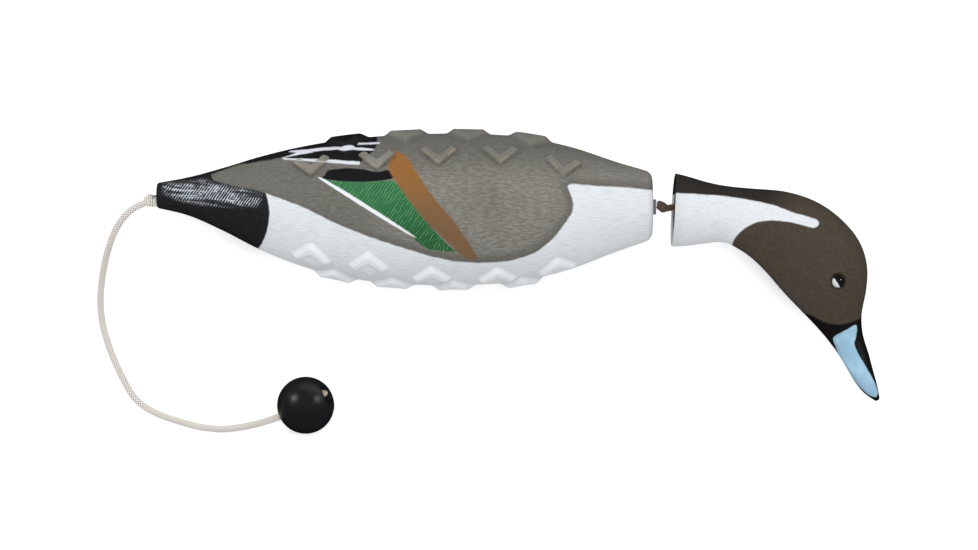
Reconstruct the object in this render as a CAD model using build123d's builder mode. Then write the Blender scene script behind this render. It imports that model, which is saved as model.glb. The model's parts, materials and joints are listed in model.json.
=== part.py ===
"""Duck shaped retriever training dummy with a swinging head, a throw cord and a throw ball.

Millimetres. The dummy lies on its left flank: +X runs from the tail to the bill, +Y from the
belly to the back, +Z up through the right flank. The origin is on the surface that it lies on,
under the middle of the body and head.
"""

from build123d import *
from math import cos, pi, radians, sin, tan
import os

os.makedirs("parts", exist_ok=True)

# ---- driving dimensions ----
axis_height = 48.0  # the body's centre line above the surface, which is its half width
gap = 0.3  # running gap between pieces that move against each other

# Body stations from tail to neck: x, centre y, half height along Y, half width along Z
body_stations = [
    (-253.0, 48.3, 8.8, 9.2),
    (-232.0, 47.7, 13.2, 14.4),
    (-208.0, 45.7, 21.6, 22.6),
    (-180.0, 42.8, 33.0, 32.6),
    (-150.0, 40.5, 42.4, 40.6),
    (-115.0, 39.0, 49.2, 45.8),
    (-75.0, 38.5, 52.7, 47.8),
    (-35.0, 38.6, 53.0, 48.0),
    (2.0, 38.8, 50.6, 46.2),
    (38.0, 39.6, 42.4, 40.2),
    (70.0, 40.4, 31.0, 30.8),
    (93.5, 41.0, 23.6, 24.0),
]
tail_x = body_stations[0][0]
neck_x = body_stations[-1][0]
neck_rounding = 4.5
tail_rounding = 1.5

# Grip lugs: chevrons whose points face the middle of the flank, two rows on the back and two
# on the belly. Each row has the side that its legs run to, +1 for the back, the reach of a leg
# along X and its rise away from the flank, how deep the notch between the legs is cut, measured
# from the point, and the places of the points. The rows nearest the back's and the belly's
# middle are flat topped, with no notch: their legs meet over the middle.
lug_proud = 3.5
lug_width = 5.6
lug_rows = [
    (1, 13.5, 11.5, 7.3, [(-143.5, 59.5), (-98, 63.5), (-55.5, 67.5), (-13, 68), (30.5, 59.5)]),
    (1, 15.0, 6.5, 14.0, [(-120, 79), (-78.5, 83.5), (-35, 84), (8, 80)]),
    (-1, 14.0, 8.5, 6.6, [(-143.5, 15), (-104, 9), (-60.5, -1), (-15, -2), (26.5, 5)]),
    (-1, 13.5, 5.0, 12.0, [(-128, -3.5), (-88.5, -9), (-45.5, -11), (2, -9)]),
]

# Cord, core and grommets
cord_radius = 2.6
link_radius = 2.4
core_tube_radius = 4.6
core_tube_bore = 3.1
grommet_radius = 5.3
grommet_flange = 3.1
grommet_sink = 0.4  # how far the neck grommet is let into the foam
tail_flange = 2.0
tail_bore_y = 46.0
pivot = Vector(99.7, 40.3, axis_height)  # middle of the neck knot, where the head swings
neck_knot_radius = 4.6
tail_knot_radius = 6.0
tail_knot_offset = 3.6  # its middle, behind the tail
shaft_fit = 0.05  # radial play of the neck cord in the head's plug and washer

# Head stations from neck to bill tip: x, y, half height, half width, lean of the section
head_stations = [
    (108.2, 38.2, 25.9, 26.0, 3),
    (120.0, 37.0, 24.0, 24.2, 3),
    (131.0, 36.1, 21.6, 21.8, 3),
    (145.0, 35.2, 19.7, 20.2, 7),
    (160.0, 32.0, 22.0, 20.8, 17),
    (175.4, 27.6, 26.4, 22.6, 27),
    (191.5, 18.8, 30.6, 24.8, 35),
    (205.5, 6.3, 32.6, 25.6, 40),
    (216.6, -6.6, 31.6, 25.0, 45),
    (223.4, -19.6, 27.4, 22.4, 49),
    (226.4, -31.6, 21.4, 17.8, 52),
    (228.0, -43.0, 15.2, 13.0, 53),
    (231.8, -54.6, 11.2, 10.4, 53),
    (237.4, -67.4, 9.4, 10.2, 53),
    (242.4, -79.4, 7.4, 10.8, 54),
    (247.2, -88.4, 4.9, 9.6, 55),
    (251.0, -94.2, 2.0, 5.4, 55),
]
head_wall = 3.0
cavity_last_station = 10  # the hollow ends inside this station, behind the bill
plug_radius = 22.4
plug_thickness = 4.5
plug_recess = 1.5
head_washer_radius = 9.0
head_washer_thickness = 1.6
stop_knot_radius = 6.0
eye_place = (221.3, -11.8)
eye_radius = 4.9
eye_half_spacing = 20.3

# Throw ball, turned about its own bore
ball_radius = 20.2
ball_centre = Vector(-150.5, -99.6, ball_radius)
ball_axis = Vector(0.847, 0.432, 0.309).normalized()
ball_bore = 3.8
counterbore_radius = 7.5
counterbore_floor = 7.8  # from the ball's middle, along its bore
ball_knot_radius = 5.2

# Throw cord: straight out of the tail knot, down to the surface, round in a wide bow and up
# into the ball. The route is the corners of its runs.
floor_z = cord_radius
throw_route = [
    (-258.6, 44.2, 48.0),
    (-269.3, 40.6, 47.0),
    (-280.0, 30.3, 42.0),
    (-288.3, 14.8, 31.0),
    (-294.2, -4.0, 18.0),
    (-297.6, -22.7, 7.4),
    (-296.9, -41.6, floor_z),
    (-290.8, -61.6, floor_z),
    (-283.1, -78.9, floor_z),
    (-273.9, -96.0, floor_z),
    (-259.6, -105.8, floor_z),
    (-241.5, -111.9, floor_z),
    (-225.6, -116.2, floor_z),
    (-206.0, -117.9, floor_z),
    (-170.1, -109.6, 13.0),
    (-142.0, -95.3, 23.3),
]


def save(part, name):
    """Names a finished piece and writes it."""
    part.label = name
    export_step(part, f"parts/{name}.step")


def section_plane(x, y, lean=0.0):
    """Plane across the body or head at a station, its own X up the section."""
    turn = radians(lean)
    return Plane(
        origin=(x, y, axis_height),
        x_dir=(sin(turn), cos(turn), 0),
        z_dir=(cos(turn), -sin(turn), 0),
    )


def loft_stations(stations, growth=0.0):
    """Smooth solid through elliptical stations, each grown by the same amount all round."""
    with BuildPart() as shape:
        for x, y, half_height, half_width, *lean in stations:
            with BuildSketch(section_plane(x, y, *lean)):
                Ellipse(half_height + growth, half_width + growth)
        loft()
    return shape.part


def bore_rod(from_offset, to_offset, radius):
    """Round bar along the body's bore, between two distances from its tail end."""
    with BuildPart() as rod:
        with BuildSketch(bore.offset(from_offset)):
            Circle(radius)
        extrude(amount=to_offset - from_offset)
    return rod.part


def link_rod(from_x, to_x, radius):
    """Round bar along the neck link's axis."""
    with BuildPart() as rod:
        with BuildSketch(Plane(origin=(from_x, pivot.Y, axis_height), z_dir=(1, 0, 0))):
            Circle(radius)
        extrude(amount=to_x - from_x)
    return rod.part


def ball_at(centre, radius):
    """Sphere about a point."""
    with BuildPart(Plane(origin=centre)) as ball:
        Sphere(radius)
    return ball.part


def chevron_prisms(side, reach, rise, notch, points):
    """Tall chevron prisms standing on the body's centre plane, side +1 pointing down in Y."""
    step = lug_width * 0.6  # of a leg's slanted end
    with BuildPart() as prisms:
        with BuildSketch(Plane.XY.offset(axis_height)):
            for x, y in points:
                end_y = y + side * rise
                last_y = y + side * max(rise + step, notch)
                outline = [
                    (x, y),
                    (x + reach, end_y),
                    (x + reach - step, last_y),
                    (x, y + side * notch),
                    (x - reach + step, last_y),
                    (x - reach, end_y),
                ]
                if notch > rise:
                    outline.pop(3)
                with BuildLine():
                    Polyline(*outline, close=True)
                make_face()
        extrude(amount=axis_height + lug_proud + 4)
    return prisms.part


# ---- body ----
bore_start = Vector(tail_x, tail_bore_y, axis_height)
bore_end = Vector(neck_x, pivot.Y, axis_height)
bore_length = (bore_end - bore_start).length
bore = Plane(origin=bore_start, z_dir=(bore_end - bore_start).normalized())
tube_end = bore_length - grommet_sink
past_end = 6.0  # how far cutting bars run past the faces that they open

envelope = loft_stations(body_stations, lug_proud)
prisms = [chevron_prisms(*row) for row in lug_rows]
with BuildPart() as lugs:
    for row_prisms in prisms:
        add(row_prisms)
    add(envelope, mode=Mode.INTERSECT)
    mirror(about=Plane.XY.offset(axis_height))

body_core = loft_stations(body_stations)
bore_cut = bore_rod(-past_end, bore_length + past_end, core_tube_radius)
tail_recess = bore_rod(-past_end, tail_flange, grommet_radius)
neck_recess = bore_rod(tube_end, bore_length + past_end, grommet_radius)
with BuildPart() as body_foam:
    add(body_core)
    fillet(body_foam.faces().sort_by(Axis.X)[-1].edges(), neck_rounding)
    fillet(body_foam.faces().sort_by(Axis.X)[0].edges(), tail_rounding)
    add(lugs.part)
    add(bore_cut, mode=Mode.SUBTRACT)
    add(tail_recess, mode=Mode.SUBTRACT)
    add(neck_recess, mode=Mode.SUBTRACT)
save(body_foam.part, "body_foam")

with BuildPart() as core_tube:
    with BuildSketch(bore.offset(tail_flange)):
        Circle(core_tube_radius)
        Circle(core_tube_bore, mode=Mode.SUBTRACT)
    extrude(amount=tube_end - tail_flange)
save(core_tube.part, "core_tube")

with BuildPart() as tail_grommet:
    with BuildSketch(bore):
        Circle(grommet_radius)
        Circle(cord_radius, mode=Mode.SUBTRACT)
    extrude(amount=tail_flange)
save(tail_grommet.part, "tail_grommet")

knot_seat = ball_at(pivot, neck_knot_radius + gap)
with BuildPart() as neck_grommet:
    with BuildSketch(bore.offset(tube_end)):
        Circle(grommet_radius)
        Circle(cord_radius, mode=Mode.SUBTRACT)
    extrude(amount=grommet_flange)
    chamfer(neck_grommet.edges().sort_by(Axis.X)[-1], 0.5)
    add(knot_seat, mode=Mode.SUBTRACT)
save(neck_grommet.part, "neck_grommet")

# the cord starts inside the tail knot and stops short of the neck knot
with BuildPart() as core_cord:
    with BuildSketch(bore.offset(-tail_knot_offset)):
        Circle(cord_radius)
    extrude(amount=tail_knot_offset + tube_end + grommet_flange)
    add(knot_seat, mode=Mode.SUBTRACT)
save(core_cord.part, "core_cord")

with BuildPart() as tail_knot:
    with BuildSketch(Plane(bore.offset(-tail_knot_offset).origin, x_dir=(1, 0, 0), z_dir=(0, 0, 1))):
        Circle(tail_knot_radius)
        with Locations((0, -tail_knot_radius)):
            Rectangle(4 * tail_knot_radius, 2 * tail_knot_radius, mode=Mode.SUBTRACT)
    revolve(axis=Axis(bore.offset(-tail_knot_offset).origin, (1, 0, 0)))
    # flattened where it bears on the tail and its grommet
    split(bisect_by=Plane(origin=bore_start - Vector(0.1, 0, 0), z_dir=(-1, 0, 0)), keep=Keep.TOP)
save(tail_knot.part, "tail_knot")

# ---- neck link ----
with BuildPart(Plane(origin=pivot)) as neck_knot:
    Sphere(neck_knot_radius)
save(neck_knot.part, "neck_knot")

rear_lean = head_stations[0][4]
rear_plane = section_plane(*head_stations[0][:2], rear_lean)
plug_outer = rear_plane.offset(plug_recess)
plug_inner = plug_outer.offset(plug_thickness)
washer_inner = plug_inner.offset(head_washer_thickness)
stop_x = washer_inner.origin.X + 0.5 + gap + stop_knot_radius

# hollowed at its rear end round the knot, so that it swings about the knot's middle
with BuildPart() as neck_cord:
    with BuildSketch(Plane(origin=pivot)):
        with Locations(((stop_x - pivot.X) / 2, link_radius / 2)):
            Rectangle(stop_x - pivot.X, link_radius)
        Circle(neck_knot_radius + gap, mode=Mode.SUBTRACT)
    revolve(axis=Axis(pivot, (1, 0, 0)))
save(neck_cord.part, "neck_cord")
with BuildPart(Plane(origin=(stop_x, pivot.Y, axis_height))) as head_stop_knot:
    Sphere(stop_knot_radius)
save(head_stop_knot.part, "head_stop_knot")

# ---- head ----
link_bore = link_rod(pivot.X, stop_x, link_radius + shaft_fit)
cavity_stations = []
for x, y, half_height, half_width, lean in head_stations[1:cavity_last_station]:
    cavity_stations.append((x, y, half_height - head_wall, half_width - head_wall, lean))
plug_shoulder = plug_radius - 1.5
cavity_mouth = (plug_inner.origin.X, plug_inner.origin.Y, plug_shoulder, plug_shoulder, rear_lean)
cavity_stations.insert(0, cavity_mouth)

head_outside = loft_stations(head_stations)
head_inside = loft_stations(cavity_stations)
eye_centres = {}
for name, sign in (("eye_right", 1), ("eye_left", -1)):
    eye_centres[name] = Vector(*eye_place, axis_height + sign * eye_half_spacing)
    with BuildPart(Plane(origin=eye_centres[name])) as eye:
        Sphere(eye_radius)
    save(eye.part, name)

with BuildPart() as head_shell:
    add(head_outside)
    add(head_inside, mode=Mode.SUBTRACT)
    with BuildSketch(rear_plane.offset(-past_end)):
        Circle(plug_radius)
    extrude(amount=past_end + plug_recess + plug_thickness, mode=Mode.SUBTRACT)
    for centre in eye_centres.values():
        with Locations(centre):
            Sphere(eye_radius, mode=Mode.SUBTRACT)
save(head_shell.part, "head_shell")

with BuildPart() as head_plug:
    with BuildSketch(plug_outer):
        Circle(plug_radius)
    extrude(amount=plug_thickness)
    chamfer(head_plug.edges().group_by(Axis.X)[0], 0.6)
    add(link_bore, mode=Mode.SUBTRACT)
save(head_plug.part, "head_plug")

washer_shift = pivot.Y - plug_inner.origin.Y
with BuildPart() as head_washer:
    with BuildSketch(plug_inner):
        with Locations((washer_shift, 0)):
            Circle(head_washer_radius)
    extrude(amount=head_washer_thickness)
    add(link_bore, mode=Mode.SUBTRACT)
save(head_washer.part, "head_washer")

# ---- throw ball ----
ball_bore_plane = Plane(origin=ball_centre, z_dir=ball_axis)
with BuildPart() as throw_ball:
    with Locations(ball_centre):
        Sphere(ball_radius)
    with BuildSketch(ball_bore_plane.offset(-2 * ball_radius)):
        Circle(ball_bore)
    extrude(amount=4 * ball_radius, mode=Mode.SUBTRACT)
    with BuildSketch(ball_bore_plane.offset(counterbore_floor)):
        Circle(counterbore_radius)
    extrude(amount=2 * ball_radius, mode=Mode.SUBTRACT)
save(throw_ball.part, "throw_ball")

ball_knot_centre = ball_centre + ball_axis * (counterbore_floor + gap + ball_knot_radius)
with BuildPart(Plane(origin=ball_knot_centre)) as ball_knot:
    Sphere(ball_knot_radius)
save(ball_knot.part, "ball_knot")


# ---- throw cord ----
def bend_radii(route):
    """Largest radius at each corner that its two runs allow, printed with the turn and runs."""
    radii = []
    corners = [Vector(*point) for point in route]
    for before, corner, after in zip(corners, corners[1:], corners[2:]):
        run_in = corner - before
        run_out = after - corner
        turn = run_in.get_angle(run_out)
        radius = 0.45 * min(run_in.length, run_out.length) / tan(radians(turn) / 2)
        print(f"run {run_in.length:5.1f} then {run_out.length:5.1f}  turn {turn:5.1f}  radius {radius:6.1f}")
        radii.append(radius)
    return radii


with BuildPart() as throw_cord:
    with BuildLine() as throw_path:
        FilletPolyline(*throw_route, radius=bend_radii(throw_route))
    with BuildSketch(throw_path.line ^ 0):
        Circle(cord_radius)
    sweep()
save(throw_cord.part, "throw_cord")
path_length = sum(edge.length for edge in throw_path.edges())
tube_area = pi * cord_radius**2
print(f"throw cord {path_length:.1f} long, volume {throw_cord.part.volume:.0f}", end=" ")
print(f"against section times length {tube_area * path_length:.0f}")
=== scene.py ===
import bpy
import json
import math
import numpy as np
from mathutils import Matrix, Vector


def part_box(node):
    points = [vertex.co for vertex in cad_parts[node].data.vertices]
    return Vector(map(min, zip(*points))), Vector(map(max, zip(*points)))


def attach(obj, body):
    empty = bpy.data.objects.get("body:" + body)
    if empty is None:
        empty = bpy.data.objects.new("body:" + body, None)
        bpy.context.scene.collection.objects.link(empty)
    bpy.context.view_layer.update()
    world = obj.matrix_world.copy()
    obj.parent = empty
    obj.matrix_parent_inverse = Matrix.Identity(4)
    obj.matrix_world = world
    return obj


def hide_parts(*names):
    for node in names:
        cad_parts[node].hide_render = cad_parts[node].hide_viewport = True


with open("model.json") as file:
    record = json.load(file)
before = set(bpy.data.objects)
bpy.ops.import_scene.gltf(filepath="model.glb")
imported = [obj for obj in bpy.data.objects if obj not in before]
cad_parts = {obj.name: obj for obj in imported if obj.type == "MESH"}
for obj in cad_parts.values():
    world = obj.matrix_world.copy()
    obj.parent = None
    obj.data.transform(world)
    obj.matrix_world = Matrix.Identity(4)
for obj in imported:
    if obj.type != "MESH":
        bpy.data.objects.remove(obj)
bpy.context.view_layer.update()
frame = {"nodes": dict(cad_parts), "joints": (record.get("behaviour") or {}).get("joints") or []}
bpy.ops.object.select_all(action="DESELECT")

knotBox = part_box("neck_knot")
neckPivot = (Vector(knotBox[0]) + Vector(knotBox[1])) / 2
axisHeight = neckPivot.z
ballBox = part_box("throw_ball")
ballCentre = (Vector(ballBox[0]) + Vector(ballBox[1])) / 2
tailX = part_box("body_foam")[0][0]
mm = 0.001


def finishPiece(piece, body, slotName, *nodes):
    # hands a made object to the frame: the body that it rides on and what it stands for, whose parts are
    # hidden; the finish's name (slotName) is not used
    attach(piece, body)
    if nodes:
        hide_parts(*nodes)
    print("made", piece.name)
    return piece


def applyPlace():
    bpy.ops.object.transform_apply(location=True, rotation=True, scale=True)


def readPlaces(mesh):
    flat = np.empty(len(mesh.vertices) * 3)
    mesh.vertices.foreach_get("co", flat)
    return flat.reshape(-1, 3)


def readNormals(mesh):
    flat = np.empty(len(mesh.vertices) * 3)
    mesh.vertex_normals.foreach_get("vector", flat)
    return flat.reshape(-1, 3)


def writePlaces(mesh, places):
    mesh.vertices.foreach_set("co", places.ravel())
    mesh.update()


def writeAttribute(mesh, name, values):
    layer = mesh.attributes.new(name, "FLOAT", "POINT")
    layer.data.foreach_set("value", np.asarray(values, dtype=np.float32))


def ease(value, low, high):
    # 0 at low and 1 at high, with a soft start and stop
    t = np.clip((value - low) / (high - low), 0, 1)
    return t * t * (3 - 2 * t)


def newMesh(name, places, faces):
    mesh = bpy.data.meshes.new(name)
    mesh.from_pydata([tuple(p) for p in places], [], faces)
    mesh.update()
    piece = bpy.data.objects.new(name, mesh)
    bpy.context.collection.objects.link(piece)
    mesh.polygons.foreach_set("use_smooth", [True] * len(mesh.polygons))
    return piece


def bridgeEnds():
    # joins the first and the last ring of the active piece, so it is closed
    bpy.ops.object.mode_set(mode="EDIT")
    bpy.ops.mesh.select_all(action="DESELECT")
    bpy.ops.mesh.select_mode(type="EDGE")
    bpy.ops.mesh.select_non_manifold()
    bpy.ops.mesh.bridge_edge_loops()
    bpy.ops.mesh.select_mode(type="VERT")
    bpy.ops.mesh.select_all(action="SELECT")
    bpy.ops.mesh.normals_make_consistent(inside=False)
    bpy.ops.object.mode_set(mode="OBJECT")


# camera: straight above, the dummy lying on its flank
camera = {"distance": 2.4, "frameWidth": 0.6846, "aim": (-0.0207, -0.0074)}
bpy.ops.object.camera_add(location=(*camera["aim"], axisHeight + camera["distance"]), rotation=(0, 0, 0))
lens = bpy.context.object
lens.name = "camera"
lens.data.sensor_width = 36
lens.data.lens = lens.data.sensor_width * camera["distance"] / camera["frameWidth"]
bpy.context.scene.camera = lens

# throw cord: a limp braid, every bit of it seen
throwCord = {
    "radius": 2.6 * mm,
    "strands": 7,  # running each way round
    "around": 56,
    "step": 0.28 * mm,
    "relief": 0.3 * mm,
    "length": 0.307,
    # the corners that pull the line, as in the part
    "route": [
        (-0.2586, 0.0442, 0.0480),
        (-0.2693, 0.0406, 0.0470),
        (-0.2800, 0.0303, 0.0420),
        (-0.2883, 0.0148, 0.0310),
        (-0.2942, -0.0040, 0.0180),
        (-0.2976, -0.0227, 0.0074),
        (-0.2969, -0.0416, 0.0026),
        (-0.2908, -0.0616, 0.0026),
        (-0.2831, -0.0789, 0.0026),
        (-0.2739, -0.0960, 0.0026),
        (-0.2596, -0.1058, 0.0026),
        (-0.2415, -0.1119, 0.0026),
        (-0.2256, -0.1162, 0.0026),
        (-0.2060, -0.1179, 0.0026),
        (-0.1701, -0.1096, 0.0130),
        (-0.1420, -0.0953, 0.0233),
    ],
}


def lineThrough(points):
    # a smooth line pulled by its corners, read back as a row of places
    curve = bpy.data.curves.new("line", "CURVE")
    curve.dimensions = "3D"
    spline = curve.splines.new("NURBS")
    spline.points.add(len(points) - 1)
    for spot, point in zip(spline.points, points):
        spot.co = (*point, 1)
    spline.order_u = 3
    spline.use_endpoint_u = True
    spline.resolution_u = 24
    holder = bpy.data.objects.new("line", curve)
    mesh = bpy.data.meshes.new_from_object(holder)
    row = readPlaces(mesh)
    bpy.data.objects.remove(holder)
    bpy.data.curves.remove(curve)
    bpy.data.meshes.remove(mesh)
    return row


def evenly(row, step):
    lengths = np.concatenate([[0], np.cumsum(np.linalg.norm(np.diff(row, axis=0), axis=1))])
    count = max(2, int(round(lengths[-1] / step)))
    marks = np.linspace(0, lengths[-1], count + 1)
    return np.stack([np.interp(marks, lengths, row[:, i]) for i in range(3)], axis=1)


def braidAlong(name, row, radius, strands, around, step, relief):
    # a round braid: two sets of strands that wind opposite ways and pass over and under
    row = evenly(row, step)
    tangents = np.gradient(row, axis=0)
    tangents /= np.linalg.norm(tangents, axis=1)[:, None]
    side = Vector(tangents[0]).orthogonal().normalized()
    sides = []
    for tangent in tangents:
        along = Vector(tangent)
        side = (side - along * side.dot(along)).normalized()
        sides.append(side[:])
    sides = np.array(sides)
    ups = np.cross(tangents, sides)
    turn = np.arange(around) / around
    distance = np.arange(len(row)) * step
    advance = 2 * math.pi * radius / strands  # strands cross at right angles
    first = strands * turn[None, :] + distance[:, None] / advance
    second = strands * turn[None, :] - distance[:, None] / advance
    over = 0.5 + 0.5 * np.sin(math.pi * (first + second)) * np.sin(math.pi * (first - second))
    bulge = np.maximum(
        np.abs(np.cos(math.pi * first)) ** 0.7 * (0.45 + 0.55 * over),
        np.abs(np.cos(math.pi * second)) ** 0.7 * (1 - 0.55 * over),
    )
    reach = radius - relief * (1 - bulge)
    angle = 2 * math.pi * turn
    offsets = np.cos(angle)[None, :, None] * sides[:, None, :]
    offsets = offsets + np.sin(angle)[None, :, None] * ups[:, None, :]
    places = (row[:, None, :] + offsets * reach[:, :, None]).reshape(-1, 3)
    faces = []
    for ring in range(len(row) - 1):
        low = ring * around
        for corner in range(around):
            after = (corner + 1) % around
            faces.append((low + corner, low + after, low + around + after, low + around + corner))
    faces.append(tuple(range(around))[::-1])
    faces.append(tuple(range((len(row) - 1) * around, len(row) * around)))
    piece = newMesh(name, places, faces)
    writeAttribute(piece.data, "bulge", bulge.ravel())
    return piece, row


throwLine = lineThrough(throwCord["route"])
throwBraid, throwRow = braidAlong(
    "throwBraid",
    throwLine,
    *[throwCord[key] for key in ("radius", "strands", "around", "step", "relief")],
)
finishPiece(throwBraid, "root", "throw_braid", "throw_cord")


def woundKnot(name, start, along, settings):
    # a stopper knot: the cord winds round itself, closing in on the line that it leaves by
    axis = Vector(along).normalized()
    sideways = axis.cross(Vector((0, 0, 1))).normalized()
    upward = sideways.cross(axis)
    points = []
    count = int(settings["turns"] * 8) + 1
    for i in range(count):
        t = i / (count - 1)
        angle = 2 * math.pi * settings["turns"] * t + settings["phase"]
        reach = settings["reach"] * (1 - settings["closing"] * t)
        spot = Vector(start) + axis * settings["length"] * (t + settings["slant"] * math.cos(angle))
        points.append(spot + sideways * reach * math.cos(angle) + upward * reach * math.sin(angle))
    points.insert(0, Vector(start) - axis * settings["tuck"])
    points.append(Vector(start) + axis * (settings["length"] + settings["tuck"]))
    piece, _ = braidAlong(
        name,
        lineThrough([p[:] for p in points]),
        *[settings[key] for key in ("radius", "strands", "around", "step", "relief")],
    )
    return piece


tailKnot = {
    "turns": 2.1, "phase": 2.2, "reach": 3.6 * mm, "closing": 0.5, "length": 5.2 * mm, "slant": 0.18,
    "tuck": 1.5 * mm, "radius": 2.4 * mm, "strands": 8, "around": 56, "step": 0.28 * mm, "relief": 0.3 * mm,
}
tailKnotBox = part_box("tail_knot")
tailKnotMiddle = (Vector(tailKnotBox[0]) + Vector(tailKnotBox[1])) / 2
tailKnotStart = Vector((tailX - 1.9 * mm, tailKnotMiddle.y - 0.6 * mm, axisHeight))
tailKnotPiece = woundKnot("tailKnot", tailKnotStart, (-1, -0.36, -0.05), tailKnot)
finishPiece(tailKnotPiece, "root", "throw_braid", "tail_knot")

neckKnot = {
    "turns": 2.3, "phase": 0.9, "reach": 2.5 * mm, "closing": 0.3, "length": 3.2 * mm, "slant": 0.3,
    "tuck": 0.6 * mm, "radius": 2.15 * mm, "strands": 7, "around": 42, "step": 0.28 * mm, "relief": 0.3 * mm,
}
neckKnotPiece = woundKnot("neckKnot", neckPivot - Vector((0.8 * mm, -0.2 * mm, 0)), (1, -0.1, 0), neckKnot)
finishPiece(neckKnotPiece, "knot", "link_braid", "neck_knot")

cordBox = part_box("neck_cord")
linkLine = lineThrough([
    (neckPivot.x + 0.6 * mm, neckPivot.y - 1.2 * mm, axisHeight),
    (neckPivot.x + 4.5 * mm, neckPivot.y - 1.0 * mm, axisHeight),
    (neckPivot.x + 8.0 * mm, neckPivot.y - 0.2 * mm, axisHeight),
    (cordBox[1][0], neckPivot.y, axisHeight),
])
linkBraid, _ = braidAlong("linkBraid", linkLine, 2.35 * mm, 10, 50, 0.25 * mm, 0.18 * mm)
finishPiece(linkBraid, "link", "link_braid", "neck_cord")

ballAxis = Vector(next(j["axis"] for j in frame["joints"] if j["name"] == "ball_spin"))
endKnot = {
    "turns": 1.3, "phase": 3.6, "reach": 1.9 * mm, "closing": 0.2, "length": 3.4 * mm, "slant": 0.3,
    "tuck": 2.2 * mm, "radius": 2.3 * mm, "strands": 10, "around": 50, "step": 0.27 * mm, "relief": 0.16 * mm,
}
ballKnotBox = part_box("ball_knot")
ballKnotMiddle = (Vector(ballKnotBox[0]) + Vector(ballKnotBox[1])) / 2
# the knot has slipped to one side of its seat
endKnotStart = ballKnotMiddle - ballAxis * 1.8 * mm + Vector((-0.8 * mm, 1.8 * mm, 0))
endKnotPiece = woundKnot("endKnot", endKnotStart, ballAxis, endKnot)
finishPiece(endKnotPiece, "root", "throw_braid", "ball_knot")


# throw ball: a moulded ball with a bore and a sunk seat for the knot
ball = {
    "radius": (ballBox[1][2] - ballBox[0][2]) / 2,
    "seatRadius": 7.5 * mm,
    "seatDepth": 7.8 * mm,  # of its floor, from the middle
    "boreRadius": 3.8 * mm,
}


def moulded(name, steps, corners):
    # rings from a first circle: each step moves, widens and heightens the ring before it
    first = steps[0]
    bpy.ops.mesh.primitive_circle_add(vertices=corners, radius=first[1], location=(0, 0, first[0]))
    piece = bpy.context.object
    piece.name = name
    applyPlace()
    bpy.ops.object.mode_set(mode="EDIT")
    bpy.ops.mesh.select_all(action="SELECT")
    for before, after in zip(steps, steps[1:]):
        bpy.ops.mesh.extrude_region_move(TRANSFORM_OT_translate={"value": (0, 0, after[0] - before[0])})
        ratio = after[1] / before[1]
        bpy.ops.transform.resize(value=(ratio, ratio, 1), center_override=(0, 0, after[0]))
    return piece


ballSteps = []
rimAngle = math.asin(ball["seatRadius"] / ball["radius"])
boreAngle = math.pi - math.asin(ball["boreRadius"] / ball["radius"])
turned = 0.05
for i in range(41):
    a = rimAngle + turned + (boreAngle - rimAngle - 2 * turned) * i / 40
    ballSteps.append((ball["radius"] * math.cos(a), ball["radius"] * math.sin(a)))
farRim = -ball["radius"] * math.cos(math.pi - boreAngle)
nearRim = ball["radius"] * math.cos(rimAngle)
ballSteps += [
    (farRim + 0.25 * mm, ball["boreRadius"] + 0.1 * mm),
    (farRim + 1.0 * mm, ball["boreRadius"]),
    (0, ball["boreRadius"]),
    (ball["seatDepth"], ball["boreRadius"]),
    (ball["seatDepth"], ball["seatRadius"] - 0.5 * mm),
    (ball["seatDepth"] + 0.5 * mm, ball["seatRadius"]),
    (nearRim - 1.0 * mm, ball["seatRadius"]),
    (nearRim - 0.3 * mm, ball["seatRadius"] + 0.12 * mm),
]
ballPiece = moulded("throwBall", ballSteps, 96)
bpy.ops.object.mode_set(mode="OBJECT")
bridgeEnds()
ballPiece.rotation_mode = "QUATERNION"
ballPiece.rotation_quaternion = ballAxis.to_track_quat("Z", "Y")
ballPiece.location = ballCentre
applyPlace()
bpy.ops.object.shade_smooth_by_angle(angle=math.radians(35))
finishPiece(ballPiece, "ball", "black_ball", "throw_ball")
bpy.ops.object.select_all(action="DESELECT")


# foam body: each station has its x, middle of the height, half height and half width
foam = {
    "stations": [
        (-253.0, 48.3, 8.8, 9.2),
        (-232.0, 47.7, 13.2, 14.4),
        (-208.0, 45.7, 21.6, 22.6),
        (-180.0, 42.8, 33.0, 32.6),
        (-150.0, 40.5, 42.4, 40.6),
        (-115.0, 39.0, 49.2, 45.8),
        (-75.0, 38.5, 52.7, 47.8),
        (-35.0, 38.6, 53.0, 48.0),
        (2.0, 38.8, 50.6, 46.2),
        (38.0, 39.6, 42.4, 40.2),
        (70.0, 40.4, 31.0, 30.8),
        (93.5, 41.0, 23.6, 24.0),
    ],
    "ringStep": 4.6,
    "corners": 48,
    "tailRound": 1.5,
    "neckRound": 4.5,
    "holeRadius": 5.4,
    "tailHoleY": 46.0,
    "meanRadius": 42,
}
# grip lugs: chevrons with their points towards the flank, given by the side that the legs run to, the share
# of the lug's height that fills the gap between its legs, and the places of the points
lugs = {
    "rows": [
        (1, 0.0, [(-143.5, 59.5), (-98, 63.5), (-55.5, 67.5), (-13, 68), (30.5, 59.5)]),
        (1, 0.72, [(-120, 79), (-78.5, 83.5), (-35, 84), (8, 80)]),
        (-1, 0.3, [(-143.5, 15), (-104, 9), (-60.5, -1), (-15, -2), (26.5, 5)]),
        (-1, 0.85, [(-128, -3.5), (-88.5, -9), (-45.5, -11), (2, -9)]),
    ],
    "proud": 3.4,
    "width": 6.8,
    "reach": 14.0,  # of a leg along the body
    "rise": 15.0,  # of a leg round the body
    "blunt": (2.0, 8.0),  # how round the points are, fore and aft
}


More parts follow.
